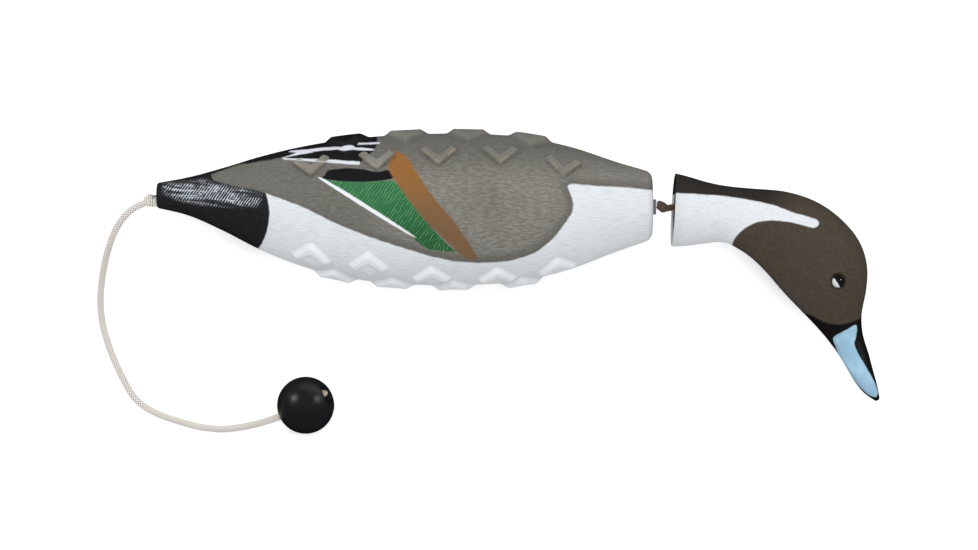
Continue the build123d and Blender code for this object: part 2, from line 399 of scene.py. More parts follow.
def through(rows, x):
    # each column of a table of stations at x, on a smooth line through the stations
    rows = np.array(rows)
    xs = rows[:, 0]
    slopes = np.gradient(rows[:, 1:], xs, axis=0)
    i = int(np.clip(np.searchsorted(xs, x) - 1, 0, len(xs) - 2))
    width = xs[i + 1] - xs[i]
    t = (x - xs[i]) / width
    parts = (2 * t**3 - 3 * t**2 + 1, t**3 - 2 * t**2 + t, 3 * t**2 - 2 * t**3, t**3 - t**2)
    ends = parts[0] * rows[i, 1:] + parts[2] * rows[i + 1, 1:]
    return ends + width * (parts[1] * slopes[i] + parts[3] * slopes[i + 1])


def ringBody(name, rings, corners):
    # a circle across the length, extruded from ring to ring, each moved and scaled to its place
    # a ring is its middle (x, y), half height and half width
    x, y, high, wide = rings[0]
    bpy.ops.mesh.primitive_circle_add(
        vertices=corners, radius=1, location=(0, 0, 0), rotation=(0, math.pi / 2, 0)
    )
    piece = bpy.context.object
    piece.name = name
    applyPlace()
    bpy.ops.object.mode_set(mode="EDIT")
    bpy.ops.mesh.select_all(action="SELECT")
    bpy.ops.transform.resize(value=(1, high * mm, wide * mm), center_override=(0, 0, 0))
    bpy.ops.transform.translate(value=(x * mm, y * mm, axisHeight))
    for before, after in zip(rings, rings[1:]):
        x, y, high, wide = after
        step = ((x - before[0]) * mm, (y - before[1]) * mm, 0)
        bpy.ops.mesh.extrude_region_move(TRANSFORM_OT_translate={"value": step})
        bpy.ops.transform.resize(
            value=(1, high / before[2], wide / before[3]), center_override=(x * mm, y * mm, axisHeight)
        )
    bpy.ops.object.mode_set(mode="OBJECT")
    return piece


def smoothed(piece, levels):
    bpy.context.view_layer.objects.active = piece
    piece.select_set(True)
    shaper = piece.modifiers.new("smoothing", "SUBSURF")
    shaper.levels = levels
    shaper.render_levels = levels
    bpy.ops.object.modifier_apply(modifier=shaper.name)


def foamRings():
    rings = []
    tail, neck = foam["stations"][0][0], foam["stations"][-1][0]
    hole = foam["holeRadius"]
    _, tailY, tailHigh, tailWide = foam["stations"][0]
    _, neckY, neckHigh, _ = foam["stations"][-1]
    holeY = foam["tailHoleY"]
    rings.append((tail + 2.2, holeY, hole, hole))
    rings.append((tail + 0.35, holeY, hole, hole))
    rings.append((tail, holeY, hole + 0.25, hole + 0.25))
    for t in (0.4, 0.9):
        high = hole + (tailHigh - foam["tailRound"] - hole) * t
        wide = hole + (tailWide - foam["tailRound"] - hole) * t
        rings.append((tail, holeY + (tailY - holeY) * t, high + 0.25, wide + 0.25))
    for a in (0.35, 0.8, 1.25):
        inset = foam["tailRound"] * (1 - math.sin(a))
        y, high, wide = through(foam["stations"], tail + foam["tailRound"] * (1 - math.cos(a)))
        rings.append((tail + foam["tailRound"] * (1 - math.cos(a)), y, high - inset, wide - inset))
    start = tail + foam["tailRound"] + 1.2
    end = neck - foam["neckRound"]
    count = int((end - start) / foam["ringStep"])
    for i in range(count + 1):
        x = start + (end - start) * i / count
        rings.append((x, *through(foam["stations"], x)))
    for a in (1.2, 0.85, 0.5, 0.15):
        inset = foam["neckRound"] * (1 - math.sin(a))
        x = neck - foam["neckRound"] * (1 - math.cos(a))
        y, high, wide = through(foam["stations"], x)
        rings.append((x, y, high - inset, wide - inset))
    pivotY = neckPivot.y / mm
    for t in (0.35, 0.75, 1.0):
        high = neckHigh - foam["neckRound"] - 0.5
        size = high + (hole + 0.2 - high) * t
        rings.append((neck, neckY + (pivotY - neckY) * t, size, size))
    rings.append((neck - 0.4, pivotY, hole, hole))
    rings.append((neck - 2.5, pivotY, hole, hole))
    return rings


def lugHeights(places):
    # at each place: the lugs' height over the skin, how near it is to a lug's rim and to the
    # corner at its foot, and how far it is on the legs of a lug in the rows with open chevrons
    x, y, z = places[:, 0] / mm, places[:, 1] / mm, np.abs(places[:, 2] - axisHeight) / mm
    height = np.zeros(len(x))
    rim = np.zeros(len(x))
    creaseShade = np.zeros(len(x))
    face = np.zeros(len(x))
    legReach, legRise = lugs["reach"], lugs["rise"]
    length = math.hypot(legReach, legRise)
    for side, fill, points in lugs["rows"]:
        for px, py in points:
            middle, high, wide = through(foam["stations"], px)
            mean = (high + wide) / 2
            tip = math.acos((py - middle) * side / high)
            dy = (tip - np.arctan2(z / wide, (y - middle) * side / high)) * mean
            dx = x - px
            right = (dy * legReach - dx * legRise) / length
            left = (dy * legReach + dx * legRise) / length
            gap = right - left
            soft = lugs["blunt"][0] if side > 0 and px > -95 else lugs["blunt"][1]
            inside = 0.5 * (right + left - np.sqrt(gap * gap + soft))
            along = (np.abs(dx) * legReach + dy * legRise) / length
            ends = 1 - ease(along, length - 4.0, length + 1.5)
            edge = 0.9 if side > 0 and fill < 0.5 else 1.5
            outer = ease(inside, -edge, edge)
            ridge = outer * (1 - (1 - fill) * ease(inside, lugs["width"] - 2.8, lugs["width"] + 0.4))
            if fill > 0.5:
                # the lumps along the back stand a little higher than the rest, and end round
                ends = (1.35 if side > 0 else 1.1) * (1 - ease(np.abs(dx), legReach - 5.5, legReach + 2.4))
            height = np.maximum(height, ridge * ends)
            if fill == 0:
                face = np.maximum(face, ridge * ends)
            shown = ends * (0.35 if fill > 0.5 else 1)
            rim = np.maximum(rim, np.exp(-(((inside - 0.6) / 0.7) ** 2)) * shown)
            creaseShade = np.maximum(creaseShade, np.exp(-(((inside + 0.9) / 0.7) ** 2)) * shown)
    return height, rim, creaseShade, face


foamPiece = ringBody("foamBody", foamRings(), foam["corners"])
smoothed(foamPiece, 3)
bridgeEnds()
places = readPlaces(foamPiece.data)
normals = readNormals(foamPiece.data)
lugHeight, lugRim, lugCrease, lugFace = lugHeights(places)
outward = places + normals * (lugHeight * lugs["proud"] * mm)[:, None]
writePlaces(foamPiece.data, outward)
lugMarks = {"lugHeight": lugHeight, "lugRim": lugRim, "lugCrease": lugCrease, "lugFace": lugFace}
for name, values in lugMarks.items():
    writeAttribute(foamPiece.data, name, values)
bpy.ops.object.shade_smooth()
finishPiece(foamPiece, "root", "painted_foam", "body_foam")
bpy.ops.object.select_all(action="DESELECT")


# head: a hollow moulding, its stations given as x, y, half height, half width and lean
head = {
    "stations": [
        (108.2, 38.2, 25.9, 26.0, 3),
        (120.0, 37.0, 24.0, 24.2, 3),
        (131.0, 36.1, 21.6, 21.8, 3),
        (145.0, 35.2, 19.7, 20.2, 7),
        (160.0, 32.0, 22.0, 20.8, 17),
        (175.4, 27.6, 26.4, 22.6, 27),
        (191.5, 18.8, 30.6, 24.8, 35),
        (205.5, 6.3, 32.6, 25.6, 40),
        (216.6, -6.6, 31.6, 25.0, 45),
        (223.4, -19.6, 27.4, 22.4, 49),
        (226.4, -31.6, 21.4, 17.8, 52),
        (228.0, -43.0, 15.2, 13.0, 53),
        (231.8, -54.6, 11.2, 10.4, 53),
        (237.4, -67.4, 9.4, 10.2, 53),
        (242.4, -79.4, 7.4, 10.8, 54),
        (247.2, -88.4, 4.9, 9.6, 55),
        (251.0, -94.2, 2.0, 5.4, 55),
    ],
    "corners": 40,
    "wall": 3.0,
    "perStation": 3,
    "eye": (221.3, -11.8),
}


def headRings():
    rows = head["stations"]
    along = [0.0]
    for before, after in zip(rows, rows[1:]):
        along.append(along[-1] + math.hypot(after[0] - before[0], after[1] - before[1]))
    table = [(s, *row) for s, row in zip(along, rows)]
    x, y, high, wide, lean = rows[0]
    rings = []
    for inset, back in ((head["wall"], 9.0), (head["wall"], 3.0), (head["wall"], 0.5), (2.4, 0.05)):
        turn = math.radians(lean)
        rings.append((x + back * math.cos(turn), y - back * math.sin(turn), high - inset, wide - inset, lean))
    rings.append((x, y, high - 0.9, wide - 0.9, lean))
    rings.append((x + 0.2, y, high - 0.25, wide - 0.25, lean))
    for i in range(len(rows) - 1):
        for part in range(head["perStation"]):
            t = (part + (0.25 if i == 0 and part == 0 else 0)) / head["perStation"]
            rings.append(tuple(through(table, along[i] + (along[i + 1] - along[i]) * t)))
    rings.append(rows[-1])
    x, y, high, wide, lean = rows[-1]
    turn = math.radians(lean)
    for reach, size in ((0.7, 0.75), (1.0, 0.3)):
        rings.append((x + reach * math.cos(turn), y - reach * math.sin(turn), high * size, wide * size, lean))
    return rings


def leanedBody(name, rings, corners):
    # as ringBody, with every ring turned by its lean
    x, y, high, wide, lean = rings[0]
    bpy.ops.mesh.primitive_circle_add(
        vertices=corners, radius=1, location=(0, 0, 0), rotation=(0, math.pi / 2, 0)
    )
    piece = bpy.context.object
    piece.name = name
    applyPlace()
    bpy.ops.object.mode_set(mode="EDIT")
    bpy.ops.mesh.select_all(action="SELECT")
    bpy.ops.transform.resize(value=(1, high * mm, wide * mm), center_override=(0, 0, 0))
    bpy.ops.transform.rotate(value=math.radians(lean), orient_axis="Z", center_override=(0, 0, 0))
    bpy.ops.transform.translate(value=(x * mm, y * mm, axisHeight))
    bpy.ops.mesh.edge_face_add()
    for before, after in zip(rings, rings[1:]):
        x, y, high, wide, lean = after
        step = ((x - before[0]) * mm, (y - before[1]) * mm, 0)
        middle = (x * mm, y * mm, axisHeight)
        bpy.ops.mesh.extrude_region_move(TRANSFORM_OT_translate={"value": step})
        bpy.ops.transform.rotate(value=-math.radians(before[4]), orient_axis="Z", center_override=middle)
        bpy.ops.transform.resize(value=(1, high / before[2], wide / before[3]), center_override=middle)
        bpy.ops.transform.rotate(value=math.radians(lean), orient_axis="Z", center_override=middle)
    bpy.ops.mesh.select_all(action="SELECT")
    bpy.ops.mesh.normals_make_consistent(inside=False)
    bpy.ops.object.mode_set(mode="OBJECT")
    return piece


def bandOf(points, x, y, rounding):
    # signed distance in mm to a closed outline, its corners cut round: above 0 inside it
    ends = np.array(points, dtype=float)
    for _ in range(rounding):
        after = np.roll(ends, -1, axis=0)
        ends = np.stack([0.8 * ends + 0.2 * after, 0.2 * ends + 0.8 * after], axis=1).reshape(-1, 2)
    nearest = np.full(len(x), 1e9)
    inside = np.zeros(len(x), dtype=bool)
    for (ax, ay), (bx, by) in zip(ends, np.roll(ends, -1, axis=0)):
        dx, dy = bx - ax, by - ay
        t = np.clip(((x - ax) * dx + (y - ay) * dy) / (dx * dx + dy * dy + 1e-9), 0, 1)
        nearest = np.minimum(nearest, np.hypot(x - ax - t * dx, y - ay - t * dy))
        crosses = (ay > y) != (by > y)
        inside ^= crosses & (x < ax + (y - ay) * dx / (dy if dy else 1e-9))
    return np.where(inside, nearest, -nearest)


headPiece = leanedBody("headShell", headRings(), head["corners"])
smoothed(headPiece, 3)
places = readPlaces(headPiece.data)
normals = readNormals(headPiece.data)
hx, hy = places[:, 0] / mm, places[:, 1] / mm
eyeFar = np.hypot(hx - head["eye"][0], (hy - head["eye"][1]) * 0.94)
facing = ease(np.abs(normals[:, 2]), 0.5, 0.8)
# the socket's dip, with a lid that stands a little proud round it
lid = np.exp(-(((eyeFar - 6.6) / 1.5) ** 2)) * 0.55
socket = (1 - ease(eyeFar, 3.6, 5.6)) * 1.6
push = (lid - socket) * facing
writePlaces(headPiece.data, places + normals * (push * mm)[:, None])
writeAttribute(headPiece.data, "eyeFar", eyeFar)
bpy.ops.object.shade_smooth()
finishPiece(headPiece, "head", "painted_head", "head_shell")
bpy.ops.object.select_all(action="DESELECT")

# paint outlines in mm, the same on both flanks
bodyPaint = {
    "grey": [
        (-177.4, 50), (-166, 45.8), (-152.2, 40.9), (-127.7, 28.3), (-102.5, 18.5), (-82.9, 12.2),
        (-64, 6.3), (-45.1, 1.8), (-22.8, 1), (-5.2, 2.4), (12.2, 8), (25.5, 19.2), (36.8, 34.6),
        (38.6, 40.9), (37.4, 46.9), (33.2, 57), (52.1, 54.9), (73.1, 54.2), (92, 52.1), (120, 51),
        (120, 140), (-214.5, 140), (-215.5, 66), (-214.5, 59.2), (-210, 57.6), (-199.8, 54.9),
        (-187.2, 52.5), (-181, 51.2),
    ],
    "tail": [
        (-300, -60), (-300, 140), (-180, 140), (-180, 60), (-177, 50), (-174.8, 42), (-174.4, 34),
        (-175.6, 25), (-179, 15.5), (-184, 9), (-196, -60),
    ],
    "streaks": [
        (-248.8, 56.3), (-219.4, 59.1), (-212.4, 56.3), (-194.9, 52.8), (-179.5, 48.6),
        (-182.3, 40.9), (-205.4, 40.9), (-222.9, 42.3), (-240.4, 45.8), (-248.8, 50.8),
    ],
    "backBand": [
        (-260, 140), (-260, 56), (-230, 60.5), (-213.7, 63.6), (-195, 70.2), (-187, 71),
        (-172.5, 73.6), (-163, 74.8), (-159, 79), (-156, 140),
    ],
    "backBlack": [
        (-165.5, 74.1), (-138.9, 72.2), (-111, 70), (-109, 74), (-102, 79), (-99, 84), (-98, 140),
        (-166, 140), (-162, 79),
    ],
    "blob": [(-127, 80.2), (-122.5, 79.4), (-116.5, 80.2), (-114, 82), (-117, 83.8), (-122.5, 83)],
    "stripeLow": [(-166, 74.6), (-138.9, 73.8), (-111, 72), (-111, 69.6), (-138.9, 71.6), (-164, 73.4)],
    "stripeSlant": [(-166, 74.3), (-152, 77.2), (-144, 78.4), (-144, 79.4), (-154, 78.6), (-164, 75.2)],
    "stripeHigh": [
        (-163.5, 79), (-152, 78.2), (-127.7, 80.6), (-101.1, 79.5), (-101.1, 81.2), (-127.7, 82.6),
        (-148, 80.6),
    ],
    "stripeTop": [(-113, 83.7), (-97.6, 84.4), (-97.0, 85.6), (-112, 85.0)],
    "patch": [
        (-138.9, 60.5), (-136.1, 61.9), (-133.7, 66.8), (-110.2, 67.5), (-98.7, 64), (-91.3, 66.8),
        (-85.5, 59.8), (-108.8, 57.4), (-127.7, 58.1),
    ],
    "green": [
        (-139, 60.2), (-128.4, 58.4), (-108.8, 57.7), (-87.8, 58.8), (-82.9, 54.2), (-70.3, 38.1),
        (-57.7, 22), (-43.8, 8.6), (-61.9, 10.2), (-70.3, 15), (-79.4, 23.4), (-103.9, 38.8),
        (-121.4, 50),
    ],
    "slash": [
        (-141.6, 61.4), (-137, 60.3), (-120.6, 50.9), (-103.4, 39.9), (-86.2, 28.9), (-69.8, 17.8),
        (-73.5, 18.9), (-87.9, 27.3), (-105.6, 38.2), (-123, 49.2),
    ],
    "brown": [
        (-92.5, 69), (-86.4, 58.4), (-68.9, 33.9), (-43, 8.8), (-36.5, 3.2), (-27.5, 2.8),
        (-33.2, 12.9), (-45.1, 30.4), (-60.5, 47.9), (-75.2, 70.3), (-78.8, 76), (-86, 80),
    ],
}
headPaint = {
    "white": [
        (60, -60), (60, 50.4), (109.5, 50), (124.9, 49.3), (141, 48.3), (153.6, 46.5), (166.2, 44.4),
        (178.8, 41.6), (190.8, 36.8), (203.3, 33.2), (208.6, 31.6), (210.3, 29.7), (209.8, 27.2),
        (207, 25.5), (203.4, 26.1), (190.8, 29.7), (177.4, 31.1), (166.2, 29.7), (157.1, 24.8),
        (150.8, 17.8), (148.6, 12), (146, -60),
    ],
    "root": [
        (200, -32.5), (211.0, -39.2), (217.5, -41.6), (225.5, -42.2), (231, -41.2), (240, -37.5),
        (262, -30), (262, -120), (180, -120), (180, -60),
    ],
    "bill": [
        (236.6, -41.6), (228, -46.6), (219.4, -50.9), (222.4, -58.4), (225.9, -67), (231.4, -76.2),
        (238.5, -85.4), (245.2, -91.6), (250.4, -93.4), (251.9, -89.6), (248.8, -81.4), (243.4, -72),
        (238.2, -63.3), (235.4, -57.6), (234.9, -54.6), (236.3, -50.4), (236.9, -46),
    ],
}


def paintMarks(piece, outlines, curved):
    # the outlines are as the camera sees them, so each place is first set out as it is seen,
    # and mirrored for the far flank
    mesh = piece.data
    places = readPlaces(mesh)
    nearer = camera["distance"] / (camera["distance"] - np.abs(places[:, 2] - axisHeight))
    seenX, seenY = [(aim + (places[:, i] - aim) * nearer) / mm for i, aim in enumerate(camera["aim"])]
    for name, points in outlines.items():
        writeAttribute(mesh, name, bandOf(points, seenX, seenY, 3 if name in curved else 0))
    return places


curvedMarks = ("grey", "tail", "slash", "blob", "stripeHigh", "brown", "patch")
foamPlaces = paintMarks(foamPiece, bodyPaint, curvedMarks)
paintMarks(headPiece, headPaint, ("white", "root", "bill"))
rowsX = np.array([row[0] for row in foam["stations"]]) * mm
middleRow = np.array([row[1] for row in foam["stations"]]) * mm
middles = np.interp(foamPlaces[:, 0], rowsX, middleRow)
# the way round the body from the back's middle, in metres, the same on both flanks
roundFromBack = np.arctan2(np.abs(foamPlaces[:, 2] - axisHeight), foamPlaces[:, 1] - middles)
writeAttribute(foamPiece.data, "girth", roundFromBack * foam["meanRadius"] * mm)


# finishes
def linear(code):
    # a colour as it is read off, turned into light
    parts = [int(code[i : i + 2], 16) / 255 for i in (1, 3, 5)]
    return (*[p / 12.92 if p <= 0.04045 else ((p + 0.055) / 1.055) ** 2.4 for p in parts], 1)


def addNode(tree, kind, links=None, out=0, **settings):
    # one node: what feeds it by socket, its own settings, and the output asked for
    node = tree.nodes.new("ShaderNode" + kind)
    for name, value in settings.items():
        setattr(node, name, value)
    for socket, value in (links or {}).items():
        if isinstance(value, bpy.types.NodeSocket):
            tree.links.new(value, node.inputs[socket])
        else:
            node.inputs[socket].default_value = value
    return node if out is None else node.outputs[out]


def newFinish(name):
    finish = bpy.data.materials.new(name)
    finish.use_nodes = True
    return finish, finish.node_tree, finish.node_tree.nodes["Principled BSDF"]


def wear(piece, finish):
    piece.data.materials.clear()
    piece.data.materials.append(finish)


def ramp(tree, value, low, high, bottom=0.0, top=1.0, smooth=True):
    way = "SMOOTHSTEP" if smooth else "LINEAR"
    return addNode(
        tree, "MapRange", {0: value, 1: low, 2: high, 3: bottom, 4: top}, interpolation_type=way, clamp=True
    )


def mark(tree, name):
    return addNode(tree, "Attribute", out="Fac", attribute_name=name)


def layer(tree, share, under, over):
    return addNode(tree, "Mix", {0: share, 6: under, 7: over}, out=2, data_type="RGBA")


def sums(tree, operation, *values):
    return addNode(tree, "Math", dict(enumerate(values)), operation=operation)


def grain(tree, where, scale, stretch=(1, 1, 1), detail=3.0, roughness=0.55, turn=0.0):
    # drawn out noise: stretch is how much finer it is each way
    sizes = [1 / value for value in stretch]
    links = {"Vector": where, "Scale": sizes, "Rotation": (0, 0, turn)}
    spot = addNode(tree, "Mapping", links, vector_type="TEXTURE")
    links = {"Vector": spot, "Scale": scale, "Detail": detail, "Roughness": roughness}
    return addNode(tree, "TexNoise", links)


def paintedFoam():
    # closed-cell foam under thin matt sprayed paint, feather lines moulded in its skin
    finish, tree, shader = newFinish("painted closed-cell foam")
    at = addNode(tree, "TexCoord", out="Object")
    girth = mark(tree, "girth")
    split = addNode(tree, "SeparateXYZ", {0: at}, out=None)
    wavy = sums(tree, "MULTIPLY_ADD", grain(tree, at, 30, detail=1), 0.016, girth)
    wrapped = addNode(tree, "CombineXYZ", {0: split.outputs[0], 1: wavy, 2: 0.0})
    wobble = sums(tree, "MULTIPLY_ADD", grain(tree, at, 160, detail=2), 1.3, -0.65)

    def area(name, soft=0.5, shake=1.0):
        spread = sums(tree, "MULTIPLY_ADD", wobble, shake, mark(tree, name))
        return ramp(tree, spread, -soft, soft)

    # feather lines: long wavy strokes on the flank, finer ones on breast and belly
    strokes = grain(tree, wrapped, 1, (200, 860, 1), 3, 0.6)
    fine = grain(tree, wrapped, 1, (110, 900, 1), 3, 0.6, 0.10)
    speck = grain(tree, at, 900, detail=2)
    cloud = grain(tree, at, 22, detail=3)

    lug = mark(tree, "lugHeight")
    smoothLug = ramp(tree, lug, 0.0, 0.12, 1, 0.05)
    lined = sums(tree, "MULTIPLY", ramp(tree, fine, 0.60, 0.30), smoothLug)
    white = layer(tree, lined, linear("#dfe3e7"), linear("#ced3d7"))
    # painted shade: the white grows darker towards the belly's lower edge
    white = layer(tree, ramp(tree, split.outputs[1], 0.012, -0.016, 0, 0.3), white, linear("#c8cdd0"))
    # painted highlight: the tops of the white lugs are lighter
    white = layer(tree, ramp(tree, lug, 0.2, 0.9, 0, 0.5), white, linear("#e6eaee"))
    grey = layer(tree, ramp(tree, strokes, 0.36, 0.64), linear("#726f68"), linear("#888680"))
    grey = layer(tree, ramp(tree, speck, 0.55, 0.75, 0, 0.25), grey, linear("#a09d95"))
    # painted shade: the back and the rump are darker, where the body turns away from the light; the grey also
    # darkens along its lower edge and in random clouds
    backShade = ramp(tree, split.outputs[1], 0.052, 0.082, 0, 0.62)
    shadeAndMottle = sums(tree, "MAXIMUM", backShade, ramp(tree, split.outputs[0], -0.070, -0.120, 0, 0.5))
    shadeAndMottle = sums(tree, "MAXIMUM", shadeAndMottle, ramp(tree, mark(tree, "grey"), 9.0, 0.5, 0, 0.62))
    shadeAndMottle = sums(tree, "MAXIMUM", shadeAndMottle, ramp(tree, cloud, 0.45, 0.75, 0, 0.3))
    grey = layer(tree, shadeAndMottle, grey, linear("#57554f"))
    black = layer(tree, ramp(tree, strokes, 0.45, 0.7), linear("#1c1c1e"), linear("#2e2e31"))

    colour = layer(tree, area("tail", 0.6), white, black)
    colour = layer(tree, area("grey", 0.7), colour, grey)
    # white barbs in slanted rows along the tail's feathers
    slanted = addNode(tree, "Mapping", {"Vector": at, "Rotation": (0, 0, -0.62)}, vector_type="TEXTURE")
    barbRow = addNode(
        tree,
        "TexWave",
        {"Vector": slanted, "Scale": 185, "Distortion": 2.2, "Detail": 1.5, "Detail Scale": 1.2},
        out=1,
        bands_direction="X",
    )
    shafts = grain(tree, at, 1, (30, 330, 1), 2, 0.5, -0.12)
    streak = sums(tree, "MULTIPLY", ramp(tree, barbRow, 0.45, 0.95), ramp(tree, shafts, 0.36, 0.50, 0.1, 1))
    streak = sums(tree, "MULTIPLY", streak, ramp(tree, grain(tree, at, 260), 0.35, 0.55, 0.3, 1))
    streak = sums(tree, "MULTIPLY", streak, area("streaks", 2.2, 1.5))
    colour = layer(tree, sums(tree, "MULTIPLY", streak, 0.95), colour, linear("#cdd7e0"))
    offShaft = sums(tree, "ABSOLUTE", sums(tree, "SUBTRACT", shafts, 0.555))
    shaft = sums(tree, "MULTIPLY", ramp(tree, offShaft, 0.014, 0.005), area("streaks", 1.5, 1.5))
    colour = layer(tree, sums(tree, "MULTIPLY", shaft, 0.8), colour, linear("#d5dde6"))
    colour = layer(tree, area("backBand", 0.8), colour, linear("#1d1d1f"))
    colour = layer(tree, area("backBlack", 0.6), colour, linear("#1c1c1e"))
    for name in ("stripeLow", "stripeSlant", "stripeHigh", "stripeTop", "blob"):
        colour = layer(tree, area(name, 0.5, 0.7), colour, linear("#d6dbe2"))
    colour = layer(tree, area("patch", 0.5), colour, linear("#191819"))

    # barbs: fine slanted lines, pale on the green, orange on the brown
    barbs = addNode(
        tree,
        "TexWave",
        {"Vector": slanted, "Scale": 165, "Distortion": 4.5, "Detail": 2, "Detail Scale": 0.9},
        out=1,
        bands_direction="X",
    )
    broken = ramp(tree, grain(tree, slanted, 1, (420, 110, 420)), 0.38, 0.58)
    pale = sums(tree, "MULTIPLY", ramp(tree, barbs, 0.72, 0.98), broken)
    green = layer(tree, ramp(tree, split.outputs[1], 0.010, 0.058), linear("#2a6338"), linear("#36784b"))
    green = layer(tree, ramp(tree, barbs, 0.30, 0.05, 0, 0.5), green, linear("#1f4b2d"))
    green = layer(tree, sums(tree, "MULTIPLY", pale, 0.34), green, linear("#8fbd8f"))
    colour = layer(tree, area("green", 0.5), colour, green)
    brown = layer(tree, ramp(tree, split.outputs[1], 0.025, 0.072), linear("#785c41"), linear("#946431"))
    brown = layer(tree, ramp(tree, barbs, 0.30, 0.05, 0, 0.16), brown, linear("#5d4833"))
    brown = layer(tree, sums(tree, "MULTIPLY", pale, 0.13), brown, linear("#b58a58"))
    colour = layer(tree, area("brown", 1.1), colour, brown)
    colour = layer(tree, area("slash", 0.45, 0.7), colour, linear("#e3e8ec"))

    # lugs: their tops lighter where the paint is worn; along their rims a painted highlight in tan patches
    # that also stand for worn paint; painted shade in the corners at their feet
    rim = mark(tree, "lugRim")
    high = ramp(tree, split.outputs[1], 0.03, 0.05)
    onBlack = ramp(tree, mark(tree, "backBlack"), -1.0, 1.0)
    high = sums(tree, "MULTIPLY", high, sums(tree, "SUBTRACT", 1.0, onBlack))
    aft = ramp(tree, split.outputs[0], -0.075, -0.095)
    topped = ramp(tree, lug, 0.3, 0.95, 0, 0.55)
    worn = sums(tree, "MULTIPLY", topped, high)
    bare = layer(tree, onBlack, colour, linear("#7f7d75"))
    colour = layer(tree, ramp(tree, mark(tree, "lugFace"), 0.25, 0.6, 0, 0.95), colour, bare)
    colour = layer(tree, worn, colour, layer(tree, aft, linear("#7b7972"), linear("#8f8d84")))
    patchy = ramp(tree, grain(tree, at, 75), 0.42, 0.62, 0.08, 0.55)
    # painted highlight along the lug rims, in tan patches that also stand for worn paint
    rimHighlightAndWear = sums(tree, "MULTIPLY", ramp(tree, rim, 0.25, 0.95), patchy)
    colour = layer(tree, sums(tree, "MULTIPLY", rimHighlightAndWear, high), colour, linear("#ab9a84"))
    # painted shade in the corner at each lug's foot
    creaseShade = sums(tree, "MULTIPLY", ramp(tree, mark(tree, "lugCrease"), 0.2, 0.9, 0, 0.32), high)
    colour = layer(tree, creaseShade, colour, linear("#3b3935"))

    relief = layer(tree, area("grey", 1.5), fine, strokes)
    relief = sums(tree, "MULTIPLY_ADD", speck, 0.2, relief)
    depth = sums(tree, "MULTIPLY", smoothLug, ramp(tree, mark(tree, "grey"), -1, 1, 0.28, 0.6))
    bump = addNode(tree, "Bump", {"Strength": depth, "Distance": 0.0006, "Height": relief})
    tree.links.new(colour, shader.inputs["Base Color"])
    tree.links.new(bump, shader.inputs["Normal"])
    tree.links.new(ramp(tree, cloud, 0.3, 0.7, 0.55, 0.68), shader.inputs["Roughness"])
    shader.inputs["Specular IOR Level"].default_value = 0.25
    return finish


def paintedHead():
    # hard moulded plastic under satin sprayed paint, fine feather lines along the form, a smoother bill
    finish, tree, shader = newFinish("painted moulded plastic")
    at = addNode(tree, "TexCoord", out="Object")
    split = addNode(tree, "SeparateXYZ", {0: at}, out=None)
    wobble = sums(tree, "MULTIPLY_ADD", grain(tree, at, 180, detail=2), 0.9, -0.45)

    def area(name, soft=0.5, shake=1.0):
        spread = sums(tree, "MULTIPLY_ADD", wobble, shake, mark(tree, name))
        return ramp(tree, spread, -soft, soft)

    feathers = grain(tree, at, 1, (260, 1250, 260), 2.5, 0.55, -0.85)
    lines = grain(tree, at, 1, (260, 1150, 260), 2.5, 0.55, -0.12)
    speck = grain(tree, at, 1000, detail=2)
    brown = layer(tree, ramp(tree, feathers, 0.33, 0.66), linear("#433b31"), linear("#4c4439"))
    brown = layer(tree, ramp(tree, speck, 0.55, 0.8, 0, 0.25), brown, linear("#6b6155"))
    dark = ramp(tree, mark(tree, "white"), -26.0, -10.0, 0, 0.9)
    nape = ramp(tree, split.outputs[1], 0.032, 0.046)
    back = sums(tree, "MULTIPLY", ramp(tree, split.outputs[0], 0.20, 0.17), nape)
    brown = layer(tree, sums(tree, "MULTIPLY", dark, back), brown, linear("#2b2724"))
    white = layer(tree, ramp(tree, lines, 0.32, 0.6), linear("#d5d9dd"), linear("#dfe3e8"))
    white = layer(tree, ramp(tree, split.outputs[0], 0.118, 0.107, 0, 0.4), white, linear("#c2c3bd"))
    lidShade = ramp(tree, mark(tree, "eyeFar"), 6.4, 4.6, 0, 0.75)
    brown = layer(tree, lidShade, brown, linear("#1f1b18"))
    colour = layer(tree, area("white", 0.6), brown, white)
    colour = layer(tree, area("root", 0.9), colour, linear("#171413"))
    blue = layer(tree, ramp(tree, grain(tree, at, 90), 0.35, 0.7), linear("#93b9d2"), linear("#a6c9e0"))
    inward = mark(tree, "bill")
    # painted shade: a darker line just inside part of the bill's outline, where a recess along its edge falls
    # in shade
    grooveShade = sums(tree, "MULTIPLY", ramp(tree, inward, 0.7, 1.1), ramp(tree, inward, 1.7, 1.3))
    across = sums(tree, "MULTIPLY", split.outputs[1], 0.44)
    across = sums(tree, "MULTIPLY_ADD", split.outputs[0], 0.90, across)
    grooveShade = sums(tree, "MULTIPLY", grooveShade, ramp(tree, across, 0.1835, 0.1815, 0, 0.55))
    blue = layer(tree, grooveShade, blue, linear("#5c86a4"))
    colour = layer(tree, area("bill", 0.4, 0.7), colour, blue)
    bill = ramp(tree, mark(tree, "root"), -1.0, 1.5)
    relief = layer(tree, area("white", 1.0), feathers, lines)
    relief = sums(tree, "MULTIPLY", relief, ramp(tree, bill, 0, 1, 1, 0.1))
    bump = addNode(tree, "Bump", {"Strength": 0.3, "Distance": 0.0004, "Height": relief})
    tree.links.new(colour, shader.inputs["Base Color"])
    tree.links.new(bump, shader.inputs["Normal"])
    tree.links.new(ramp(tree, bill, 0, 1, 0.62, 0.42), shader.inputs["Roughness"])
    shader.inputs["Specular IOR Level"].default_value = 0.25
    return finish


